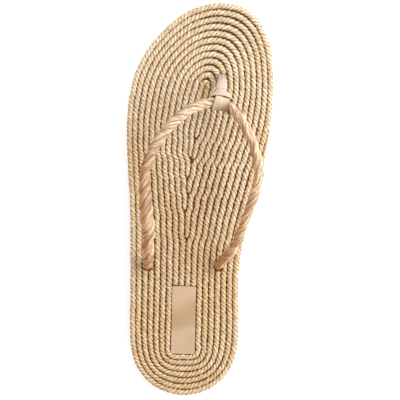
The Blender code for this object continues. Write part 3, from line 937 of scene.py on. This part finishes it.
class RowPlan:
    """Where the coil's rows run: in from each point of the sole's edge to the seam, filling the space."""

    def __init__(self):
        seam = smooth_route([place(*point) for point in SEAM], SEAM_STEP)[:, :2]
        nearest = np.argmin(((EDGE[:, None, :] - seam[None, :, :]) ** 2).sum(axis=2), axis=1)
        self.along = EDGE[:, 1] + SOLE_LENGTH / 2
        self.inner_side = EDGE[:, 0] > seam[nearest, 0]
        half = int(SEAM_SOFTNESS / np.linalg.norm(EDGE[1] - EDGE[0]))
        weights = np.hanning(2 * half + 1)
        wrapped = np.concatenate([nearest[-half:], nearest, nearest[:half]]).astype(float)
        nearest = np.convolve(wrapped, weights / weights.sum(), "valid")
        steps = np.arange(len(seam))
        goal = np.column_stack([np.interp(nearest, steps, column) for column in seam.T])
        self.seam_along = goal[:, 1] + SOLE_LENGTH / 2
        outer = row_growth(self.seam_along, OUTER_ROW_ENDS)
        inner = row_growth(self.seam_along, INNER_ROW_ENDS)
        goal[:, 0] += SEAM_SWING * (outer.sum(axis=0) - inner.sum(axis=0))
        reach = np.linalg.norm(goal - EDGE, axis=1)
        self.way = (goal - EDGE) / reach[:, None]
        start, end = SHIFT_ZONE
        self.share = np.where(self.inner_side, eased((start - self.along) / (start - end)), 0.0)
        self.growth = {False: outer, True: inner}
        whole_inner = COIL_ROWS - len(INNER_ROW_ENDS) + self.share
        self.whole = np.where(self.inner_side, whole_inner, COIL_ROWS - len(OUTER_ROW_ENDS))
        rows = self.whole + np.where(self.inner_side, inner.sum(axis=0), outer.sum(axis=0))
        self.width = reach / (rows - FIRST_ROW_LESS)
        heel = self.seam_along < SQUARE_BELOW
        self.width[heel] *= 1 - SQUARE_SHARE * (2 * self.way[heel, 0] * self.way[heel, 1]) ** 2

    def spot(self, i, row):
        """Middle and half width of a row at a point of the edge, or None past the row's end."""
        inner = bool(self.inner_side[i])
        ends = INNER_ROW_ENDS if inner else OUTER_ROW_ENDS
        first_ending = COIL_ROWS - len(ends)
        step = row + self.share[i]
        growth = 1.0
        if step < 0:
            depth, growth = 0.5 * (1 - FIRST_ROW_LESS) * (1 + step), 1 + step
        elif step < 1:
            depth = 0.5 * (1 - FIRST_ROW_LESS) + (1 - 0.5 * FIRST_ROW_LESS) * step
        elif row < first_ending:
            depth = step + 0.5 - FIRST_ROW_LESS
        else:
            order = row - first_ending
            if self.seam_along[i] < ends[order] * MM:
                return None
            growth = self.growth[inner][order, i]
            depth = self.whole[i] - FIRST_ROW_LESS + self.growth[inner][:order, i].sum() + growth / 2
        x, y = EDGE[i] + self.way[i] * depth * self.width[i]
        return x, y, min(COIL_RADIUS, ROW_FILL * growth * self.width[i])


def clockwise_from(start):
    """The numbers of the edge's points, clockwise from one of them."""
    return (start - np.arange(EDGE_POINTS)) % EDGE_POINTS


def coil_lines():
    """The lines of the coil's ropes: a spiral, then the inner rows. The last column is the half width."""
    plan = RowPlan()
    zone_end = np.argmin(np.where(plan.inner_side, np.abs(plan.along - SHIFT_ZONE[1]), np.inf))
    whole_rows = COIL_ROWS - len(OUTER_ROW_ENDS)
    spiral = []
    for turn in range(-1, whole_rows + 1):
        for number, i in enumerate(clockwise_from(zone_end)):
            before_toe = number < EDGE_POINTS // 2
            row = turn - 1 if plan.inner_side[i] and before_toe else turn
            if row + plan.share[i] < ROPE_START - 1 or (turn == -1 and before_toe):
                continue
            spot = plan.spot(i, row)
            if spot is None:
                break
            spiral.append(spot)
    yield np.array(spiral)
    for row in range(whole_rows, COIL_ROWS):
        spots = [plan.spot(i, row) for i in clockwise_from(np.argmin(plan.along))]
        yield np.array([spot for spot in spots if spot])


def strap_holes():
    return [place(across, along) for across, along, _ in (STRAP_ROUTE[0], STRAP_ROUTE[-1])]


def hole_gaps(x, y):
    """True where the coil is left open at the strap's two holes and at the post."""
    slot = place(*POST_FOOT)
    gaps = (np.abs(x - slot.x) < POST_SLOT[0]) & (np.abs(y - slot.y) < POST_SLOT[1])
    for hole in strap_holes():
        gaps |= np.hypot(x - hole.x, y - hole.y) < HOLE_RADIUS
    return gaps


def mouth_shade(x, y):
    """How much painted shade darkens the mouths of the strap's holes, which open to the heel."""
    shade = np.zeros(x.shape)
    for hole in strap_holes():
        off = np.hypot(x - hole.x, y - hole.y)
        behind = eased((hole.y - MOUTH_RADIUS / 3 - y) / MOUTH_RADIUS * 2)
        shade = np.maximum(shade, MOUTH_SHADE * behind * (1 - eased((off - MOUTH_RADIUS) / MOUTH_FADE)))
    return shade


def label_middle():
    low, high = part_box("heel_label")
    return (low + high) / 2


def label_gap(x, y):
    """True where the coil is left open under the label."""
    middle = label_middle()
    dx, dy = x - middle.x, y - middle.y
    u = dx * math.cos(LABEL_TURN) + dy * math.sin(LABEL_TURN)
    v = dy * math.cos(LABEL_TURN) - dx * math.sin(LABEL_TURN)
    return (np.abs(u) < LABEL_SIZE[0] / 2) & (np.abs(v) < LABEL_SIZE[1] / 2 + LABEL_ROOM)


def painted_shadow_share(x, y):
    """How much painted shadow the footbed's rope gets, from 0 to 1."""
    spots = np.column_stack([x, y])
    pale = np.ones(len(x))
    for *ends, reach, shadow_strength in SHADOW_BANDS:
        first, last = (np.array(place(*end))[:2] for end in ends)
        share = np.clip((spots - first) @ (last - first) / ((last - first) @ (last - first)), 0, 1)
        off = np.linalg.norm(spots - first - share[:, None] * (last - first), axis=1)
        pale *= 1 - shadow_strength * np.exp(-0.5 * (off / (reach * MM)) ** 2)
    return 1 - pale


def coil_runs(line, number):
    """The lengths of rope on one of the coil's lines, between its gaps."""
    line = softened(evenly(line, COIL_STEP), COIL_SOFTNESS, COIL_STEP)
    length = lengths_along(line[:, :2]) + number * LINE_SHIFT
    forward = np.gradient(line[:, :2], axis=0)
    forward /= np.linalg.norm(forward, axis=1)[:, None]
    side = np.column_stack([-forward[:, 1], forward[:, 0], np.zeros(len(line))])
    x, y = (line[:, :2] + side[:, :2] * unevenness(length, *COIL_WANDER)[:, None]).T
    height = COIL_FLOOR + COIL_PITCH / 2 + toe_lift(y) + unevenness(length, *COIL_HEAVE)
    path = np.column_stack([x, y, height - MOUTH_DIP * np.minimum(mouth_shade(x, y), 1)])
    twist = unevenness(length, *COIL_TURN) - 2 * np.pi * length / COIL_LAY
    up = np.tile((0.0, 0.0, 1.0), (len(line), 1))
    half_height = COIL_RADIUS * np.clip(line[:, 2] / COIL_RADIUS + THIN_ROW_HEIGHT, 0, 1)
    # Painted shade in the grooves between rows, fainter round one spot
    faint_spot = place(*FAINT_GROOVE_SPOT)
    groove = 1 - FAINT_GROOVE_SHARE * np.exp(-0.5 * ((x - faint_spot.x) ** 2 + (y - faint_spot.y) ** 2) / FAINT_GROOVE_REACH**2)
    # Bands of painted shadow on the footbed's rope
    tan = painted_shadow_share(x, y)
    label = label_gap(x, y)
    there = np.flatnonzero(~(label | hole_gaps(x, y)))
    for run in np.split(there, np.flatnonzero(np.diff(there) > 1) + 1):
        if len(run) < SHORTEST_RUN:
            continue
        from_end = np.full(len(run), np.inf)
        if run[0] == 0 or not label[run[0] - 1]:
            from_end = length[run] - length[run[0]]
        if run[-1] == len(line) - 1 or not label[run[-1] + 1]:
            from_end = np.minimum(from_end, length[run[-1]] - length[run])
        nose = np.sqrt(1 - (1 - np.clip(from_end / ROUND_END, END_LEAST, 1)) ** 2)
        yield RopeRun(
            path[run], line[run, 2] * nose, half_height[run] * nose, side[run], up[run], twist[run],
            length[run], groove[run], tan[run], False,
        )


def footbed_coil():
    finish = straw_rope_finish()
    section = strand_section(COIL_POINTS, COIL_STRAND)
    runs = [run for number, line in enumerate(coil_lines()) for run in coil_runs(line, number)]
    rings = np.cumsum([len(run.path) for run in runs])
    outer = np.count_nonzero(rings < rings[-1] * OUTER_SHARE)
    parts = {"footbed_rope_outer_rows": runs[:outer], "footbed_rope_inner_rows": runs[outer:]}
    for name, part in parts.items():
        finish_piece(rope_piece(name, part, section), "footbed_coil", finish, ROPE_ANGLE)


# Strap


def strap_line(step):
    return smooth_route([place(*row) for row in STRAP_ROUTE], step)


def strap_run():
    """The strap's rope from its outer end to its inner one."""
    path = strap_line(STRAP_STEP)
    length = lengths_along(path)
    shares, *columns = zip(*STRAP_TWIST)
    radius, lay, side_shade, overall_shade = (np.interp(length / length[-1], shares, column) for column in columns)
    radius = radius * MM * (1 + unevenness(length, *STRAP_UNEVEN))
    side, up = turned_frames(path, (1, 0, 0))
    twist = np.cumsum(2 * np.pi * STRAP_STEP / (lay * MM)) + unevenness(length, *STRAP_TURN)
    # The strap's painted shade: its side shade away from the light, and an even shade all round
    return RopeRun(path, radius, radius, side, up, twist, length, overall_shade, side_shade, True)


def stray_fibres(rope):
    """Loose ends of raffia that lie on the strap, each along its twist and a little off it at one end."""
    chance = np.random.default_rng(STRAY_SEED)
    for _ in range(STRAY_FIBRES):
        rings = int(chance.uniform(*STRAY_LENGTH) / STRAP_STEP)
        first = int(chance.uniform(STRAY_FROM, 1 - STRAY_FROM) * len(rope.path))
        span = slice(first, min(first + rings, len(rope.path)))
        step = np.arange(len(rope.path[span])) / rings
        start = rope.twist[span] + chance.uniform(0, 2 * np.pi)
        angle = start + chance.uniform(-STRAY_TURN, STRAY_TURN) * step
        off = rope.half_width[span] + chance.uniform(-STRAY_DEPTH, STRAY_DEPTH) * MM
        off = off + chance.uniform(0, STRAY_LIFT) * MM * step**2
        out = rope.side[span] * np.cos(angle)[:, None] + rope.up[span] * np.sin(angle)[:, None]
        path = rope.path[span] + out * off[:, None]
        side, up = turned_frames(path, out[0])
        thick = chance.uniform(*STRAY_RADIUS) * np.sqrt(1 + STRAY_BLUNT - (2 * step - 1) ** 2)
        # Painted side shade, as on the strap, with a random tone of its own added
        tan = shaded_by_side(rope.tan[span], out @ LIT_SIDE)
        tan = np.clip(tan + chance.uniform(-STRAY_TONE, STRAY_TONE), 0, 1)
        length = rope.length[span] + chance.uniform(0, 1)
        yield RopeRun(path, thick, thick, side, up, rope.twist[span], length, rope.groove[span], tan, False)


def strap_rope():
    finish = raffia_rope_finish()
    rope = strap_run()
    piece = rope_piece("strap_raffia_rope", [rope], strand_section(STRAP_POINTS, STRAP_STRAND))
    finish_piece(piece, "strap_rope", finish, ROPE_ANGLE)
    strays = rope_piece("strap_stray_fibres", stray_fibres(rope), strand_section(STRAY_POINTS, STRAY_STRAND))
    finish_piece(strays, "strap_rope", finish, ROPE_ANGLE)


# Sole layers


def sole_layer(name, inset, low, high, rim):
    """A flat layer cut to the sole's edge, rounded along its lower rim, with the toe lifted."""
    start_piece()
    edge = (EDGE + inward(EDGE) * inset)[::LAYER_EVERY]
    bpy.ops.mesh.primitive_circle_add(vertices=len(edge), radius=SOLE_LENGTH / 2, fill_type="NGON")
    piece = name_piece(name)
    for vertex, (x, y) in zip(piece.data.vertices, edge):
        vertex.co = (x, y, low)
    bpy.ops.object.mode_set(mode="EDIT")
    bpy.ops.mesh.select_all(action="SELECT")
    bpy.ops.mesh.extrude_region_move(TRANSFORM_OT_translate={"value": (0, 0, high - low)})
    bpy.ops.mesh.select_all(action="SELECT")
    bpy.ops.mesh.normals_make_consistent(inside=False)
    select_edges(piece, lambda a, b: max(abs(a.z - low), abs(b.z - low)) < SAME_HEIGHT)
    bpy.ops.mesh.bevel(offset=rim, segments=3, affect="EDGES")
    for y in np.arange(SPRING_START, SOLE_LENGTH, SPRING_CUTS) - SOLE_LENGTH / 2:
        bpy.ops.mesh.select_all(action="SELECT")
        bpy.ops.mesh.bisect(plane_co=(0, y, 0), plane_no=(0, 1, 0))
    bpy.ops.object.mode_set(mode="OBJECT")
    move_points(piece, lambda co: (co.x, co.y, co.z + float(toe_lift(co.y))))
    return piece


def outsole():
    piece = sole_layer("rubber_outsole", RUBBER_INSET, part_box("outsole")[0].z, COIL_FLOOR, RUBBER_ROUND)
    finish_piece(piece, "outsole", rubber_finish(), SOLE_ANGLE)


def coil_backing():
    top = COIL_FLOOR + BACKING_THICKNESS
    piece = sole_layer("coil_backing", BACKING_INSET, COIL_FLOOR, top, BACKING_ROUND)
    finish_piece(piece, "footbed_coil", backing_finish(), SOLE_ANGLE)


def heel_label():
    """The bare label: a thin soft-edged rectangle."""
    low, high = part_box("heel_label")
    start_piece()
    bpy.ops.mesh.primitive_cube_add(size=1)
    piece = name_piece("heel_bare_label")
    bpy.ops.transform.resize(value=(*LABEL_SIZE, high.z - low.z))
    bpy.ops.object.transform_apply(location=True, rotation=True, scale=True)
    bpy.ops.object.mode_set(mode="EDIT")
    select_edges(piece, lambda a, b: abs(a.z - b.z) > SAME_HEIGHT)
    bpy.ops.mesh.bevel(offset=LABEL_CORNER, segments=4, affect="EDGES")
    select_edges(piece, lambda a, b: a.z > 0 and b.z > 0)
    bpy.ops.mesh.bevel(offset=LABEL_EDGE, segments=2, affect="EDGES")
    bpy.ops.object.mode_set(mode="OBJECT")
    middle, turn = label_middle(), Matrix.Rotation(LABEL_TURN, 3, "Z")
    move_points(piece, lambda co: middle + turn @ co)
    finish_piece(piece, "heel_label", label_finish(), LABEL_ANGLE)


# Leather at the toe


def wrap_frame():
    """The strap's line through the wrap: distance from the wrap's middle, places and directions."""
    path = strap_line(WRAP_STEP)
    middle = np.array(place(*STRAP_ROUTE[WRAP_ROW]))
    nearest = int(np.argmin(np.linalg.norm(path - middle, axis=1)))
    path = path[nearest - WRAP_STEPS : nearest + WRAP_STEPS + 1]
    front, up = turned_frames(path, (0, 1, 0))
    return np.arange(-WRAP_STEPS, WRAP_STEPS + 1) * WRAP_STEP, path, front, up


def follow_strap(piece, flare):
    """Bends a piece that lies along X so that it follows the strap through the wrap."""
    distance, *tables = wrap_frame()

    def bent(co):
        x = co.x * (1 - flare * co.y / WRAP_RADIUS)
        middle, front, up = (
            np.array([np.interp(x, distance, column) for column in table.T]) for table in tables
        )
        return middle + front * co.y + up * co.z

    move_points(piece, bent)


def wrap_tube(name, radius, length, ends, rings):
    """A tube along X, to be bent along the strap."""
    lying = (0, math.pi / 2, 0)
    return ringed_tube(
        name, Vector((1, 0, 0)), rings,
        vertices=WRAP_SIDES, radius=radius, depth=length, end_fill_type=ends, rotation=lying,
    )


def strap_wrap(leather):
    """The leather wound round the rope in three laps where the straps meet."""
    piece = wrap_tube("strap_leather_wrap", WRAP_RADIUS, WRAP_LENGTH, "NOTHING", WRAP_RINGS)

    def lapped(co):
        share = co.x / WRAP_LENGTH + 0.5
        rise = sum(step * float(eased((share - start) / LAP_EDGE)) for start, step in WRAP_LAPS)
        wider = 1 + rise / WRAP_RADIUS
        return Vector((co.x + WRAP_SHIFT, co.y * wider, co.z * wider))

    # Painted shade at both ends of the wrap, where it meets the rope
    shade_points(piece, lambda co: 1 - float(eased((WRAP_LENGTH / 2 - abs(co.x)) / WRAP_END_SHADE)))
    move_points(piece, lapped)
    follow_strap(piece, WRAP_FLARE)
    wall = piece.modifiers.new("wall", "SOLIDIFY")
    wall.thickness = WRAP_WALL
    wall.offset = -1
    round_rims(piece, *WRAP_RIM)
    finish_piece(piece, "strap_sleeve", leather, LEATHER_ANGLE)


def post_line():
    """Where the post leaves the footbed, the middle of the wrap, and the way it leans."""
    foot = place(*POST_FOOT)
    foot.z += float(toe_lift(foot.y)) + POST_ABOVE_ROWS
    wrap = place(*STRAP_ROUTE[WRAP_ROW])
    return foot, wrap, (wrap - foot).normalized()


def along_lean(origin, lean):
    """A function that sets a point that stands on Z at an origin, leaning."""
    side = Vector((1, 0, 0))
    side = (side - lean * side.dot(lean)).normalized()
    front = lean.cross(side)
    return lambda co: origin + side * co.x + front * co.y + lean * co.z


def upright_tube(name, low, high, rings):
    """A tube on Z, one metre wide until it is shaped."""
    return ringed_tube(
        name, Vector((0, 0, 1)), rings,
        vertices=UPRIGHT_SIDES, radius=0.5, depth=high - low, location=(0, 0, (low + high) / 2),
    )


def post_collar(leather):
    """The flared leather between post and wrap, hollowed to sit on the wrap."""
    _, wrap, lean = post_line()
    seat = WRAP_RADIUS + COLLAR_GAP
    height = COLLAR_LENGTH + seat * COLLAR_HUG
    piece = upright_tube("post_leather_collar", 0, height, COLLAR_RINGS)

    def flared(co):
        flare = math.sqrt(max(0.0, 1 - (1 - co.z / height) ** 2))
        width, thick = (a + (b - a) * flare for a, b in zip(COLLAR_LOW, COLLAR_HIGH))
        return Vector((co.x * width, co.y * thick, co.z))

    move_points(piece, flared)
    move_points(piece, along_lean(wrap - lean * (seat + COLLAR_LENGTH), lean))
    cutter = wrap_tube("collar_seat", seat, SEAT_LENGTH, "NGON", SEAT_RINGS)
    follow_strap(cutter, 0.0)
    hollow = piece.modifiers.new("seat", "BOOLEAN")
    hollow.object = cutter
    hollow.operation = "DIFFERENCE"
    hollow.solver = "EXACT"
    round_rims(piece, *COLLAR_RIM)
    bpy.data.objects.remove(cutter)
    along, axis, _, _ = wrap_frame()

    def on_seat(co):
        away = np.linalg.norm(axis - np.array(co), axis=1)
        nearest = int(away.argmin())
        over_wrap = abs(along[nearest] - WRAP_SHIFT) < WRAP_LENGTH / 2
        return float(over_wrap and away[nearest] < seat + SEAT_EDGE)

    # Painted shade on the hollow seat over the wrap, in the gap under the collar
    shade_points(piece, on_seat)
    finish_piece(piece, "post_collar", leather, LEATHER_ANGLE)


def toe_post():
    """The soft flat post: straight down into the footbed, then leaning back to the collar."""
    foot, wrap, lean = post_line()
    rise = (wrap - foot).length - WRAP_RADIUS - COLLAR_LENGTH + POST_IN_COLLAR
    piece = upright_tube("toe_post_tape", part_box("toe_post")[0].z - foot.z, rise, POST_RINGS)
    leaning = along_lean(foot, lean)
    upright = along_lean(foot, Vector((0, 0, 1)))

    def crease_at(co):
        return math.exp(-(((co.z - POST_CREASE * rise) / CREASE_HEIGHT) ** 2))

    def gather_at(co):
        return math.sin(2 * math.pi * POST_GATHERS * co.x) * (1 - float(eased(co.z / rise / GATHER_HEIGHT)))

    def bent(co):
        grown = float(eased(co.z / rise / POST_CREASE))
        width = POST_FOOT_WIDTH + (POST_WIDTH - POST_FOOT_WIDTH) * grown
        narrowed, thinned = (1 - nip * crease_at(co) for nip in CREASE_NIP)
        thick = co.y * POST_THICKNESS * thinned + GATHER_DEPTH * gather_at(co)
        shaped = Vector((co.x * width * narrowed, thick, co.z))
        return upright(shaped).lerp(leaning(shaped), float(eased(co.z / POST_BEND + 0.5)))

    # Painted shade in the crease's fold and in the hollows of the gathers
    shade_points(piece, lambda co: CREASE_SHADE * crease_at(co) + GATHER_SHADE * max(0.0, -gather_at(co)))
    move_points(piece, bent)
    finish_piece(piece, "toe_post", post_leather_finish(), LEATHER_ANGLE)


# Studio


def floor():
    """A pale floor that is clear from below, so that the underside of the sole can be looked at."""
    start_piece()
    bpy.ops.mesh.primitive_plane_add(size=FLOOR_SIZE)
    ground = name_piece("studio_floor")
    move_points(ground, lambda co: (co.x, co.y, -FLOOR_DROP))
    material, tree, shader = new_material("pale_floor")
    shader["Base Color"].default_value = FLOOR_COLOUR
    shader["Roughness"].default_value = 0.9
    shader["Emission Color"].default_value = (1, 1, 1, 1)
    shader["Emission Strength"].default_value = FLOOR_GLOW
    face = tree.nodes.new("ShaderNodeNewGeometry")
    clear = tree.nodes.new("ShaderNodeBsdfTransparent")
    one_sided = tree.nodes.new("ShaderNodeMixShader")
    feed(tree, one_sided.inputs[0], face.outputs["Backfacing"])
    feed(tree, one_sided.inputs[1], tree.nodes["Principled BSDF"].outputs[0])
    feed(tree, one_sided.inputs[2], clear.outputs[0])
    feed(tree, tree.nodes["Material Output"].inputs["Surface"], one_sided.outputs[0])
    ground.data.materials.append(material)


def studio():
    floor()
    for spot, size, power in LIGHTS:
        start_piece()
        bpy.ops.object.light_add(type="AREA", location=spot)
        lamp = bpy.context.object
        lamp.data.size = size
        lamp.data.energy = power
        aim = Vector(LIGHT_AIM) - Vector(spot)
        lamp.rotation_euler = aim.to_track_quat("-Z", "Y").to_euler()
    world = bpy.data.worlds.new("soft_studio")
    bpy.context.scene.world = world
    world.use_nodes = True
    sky = world.node_tree.nodes["Background"]
    sky.inputs["Color"].default_value = (1, 1, 1, 1)
    sky.inputs["Strength"].default_value = SKY_STRENGTH
    bpy.context.scene.view_settings.view_transform = "Standard"


def camera():
    """Above the shoe and a little to its inner side, far enough off to see it almost without perspective."""
    aside, _, height = CAMERA_SPOT
    start_piece()
    tilt = math.atan2(aside, height - ROWS_TOP)
    bpy.ops.object.camera_add(location=CAMERA_SPOT, rotation=(0, tilt, 0))
    eye = bpy.context.object
    eye.data.sensor_width = SENSOR
    seen = SOLE_LENGTH * PICTURE_SIDE / SHOE_IN_PICTURE
    eye.data.lens = SENSOR * (height - ROWS_TOP) / seen
    bpy.context.scene.camera = eye


wrap_leather = wrap_leather_finish()
outsole()
coil_backing()
footbed_coil()
heel_label()
strap_rope()
strap_wrap(wrap_leather)
post_collar(wrap_leather)
toe_post()
studio()
camera()
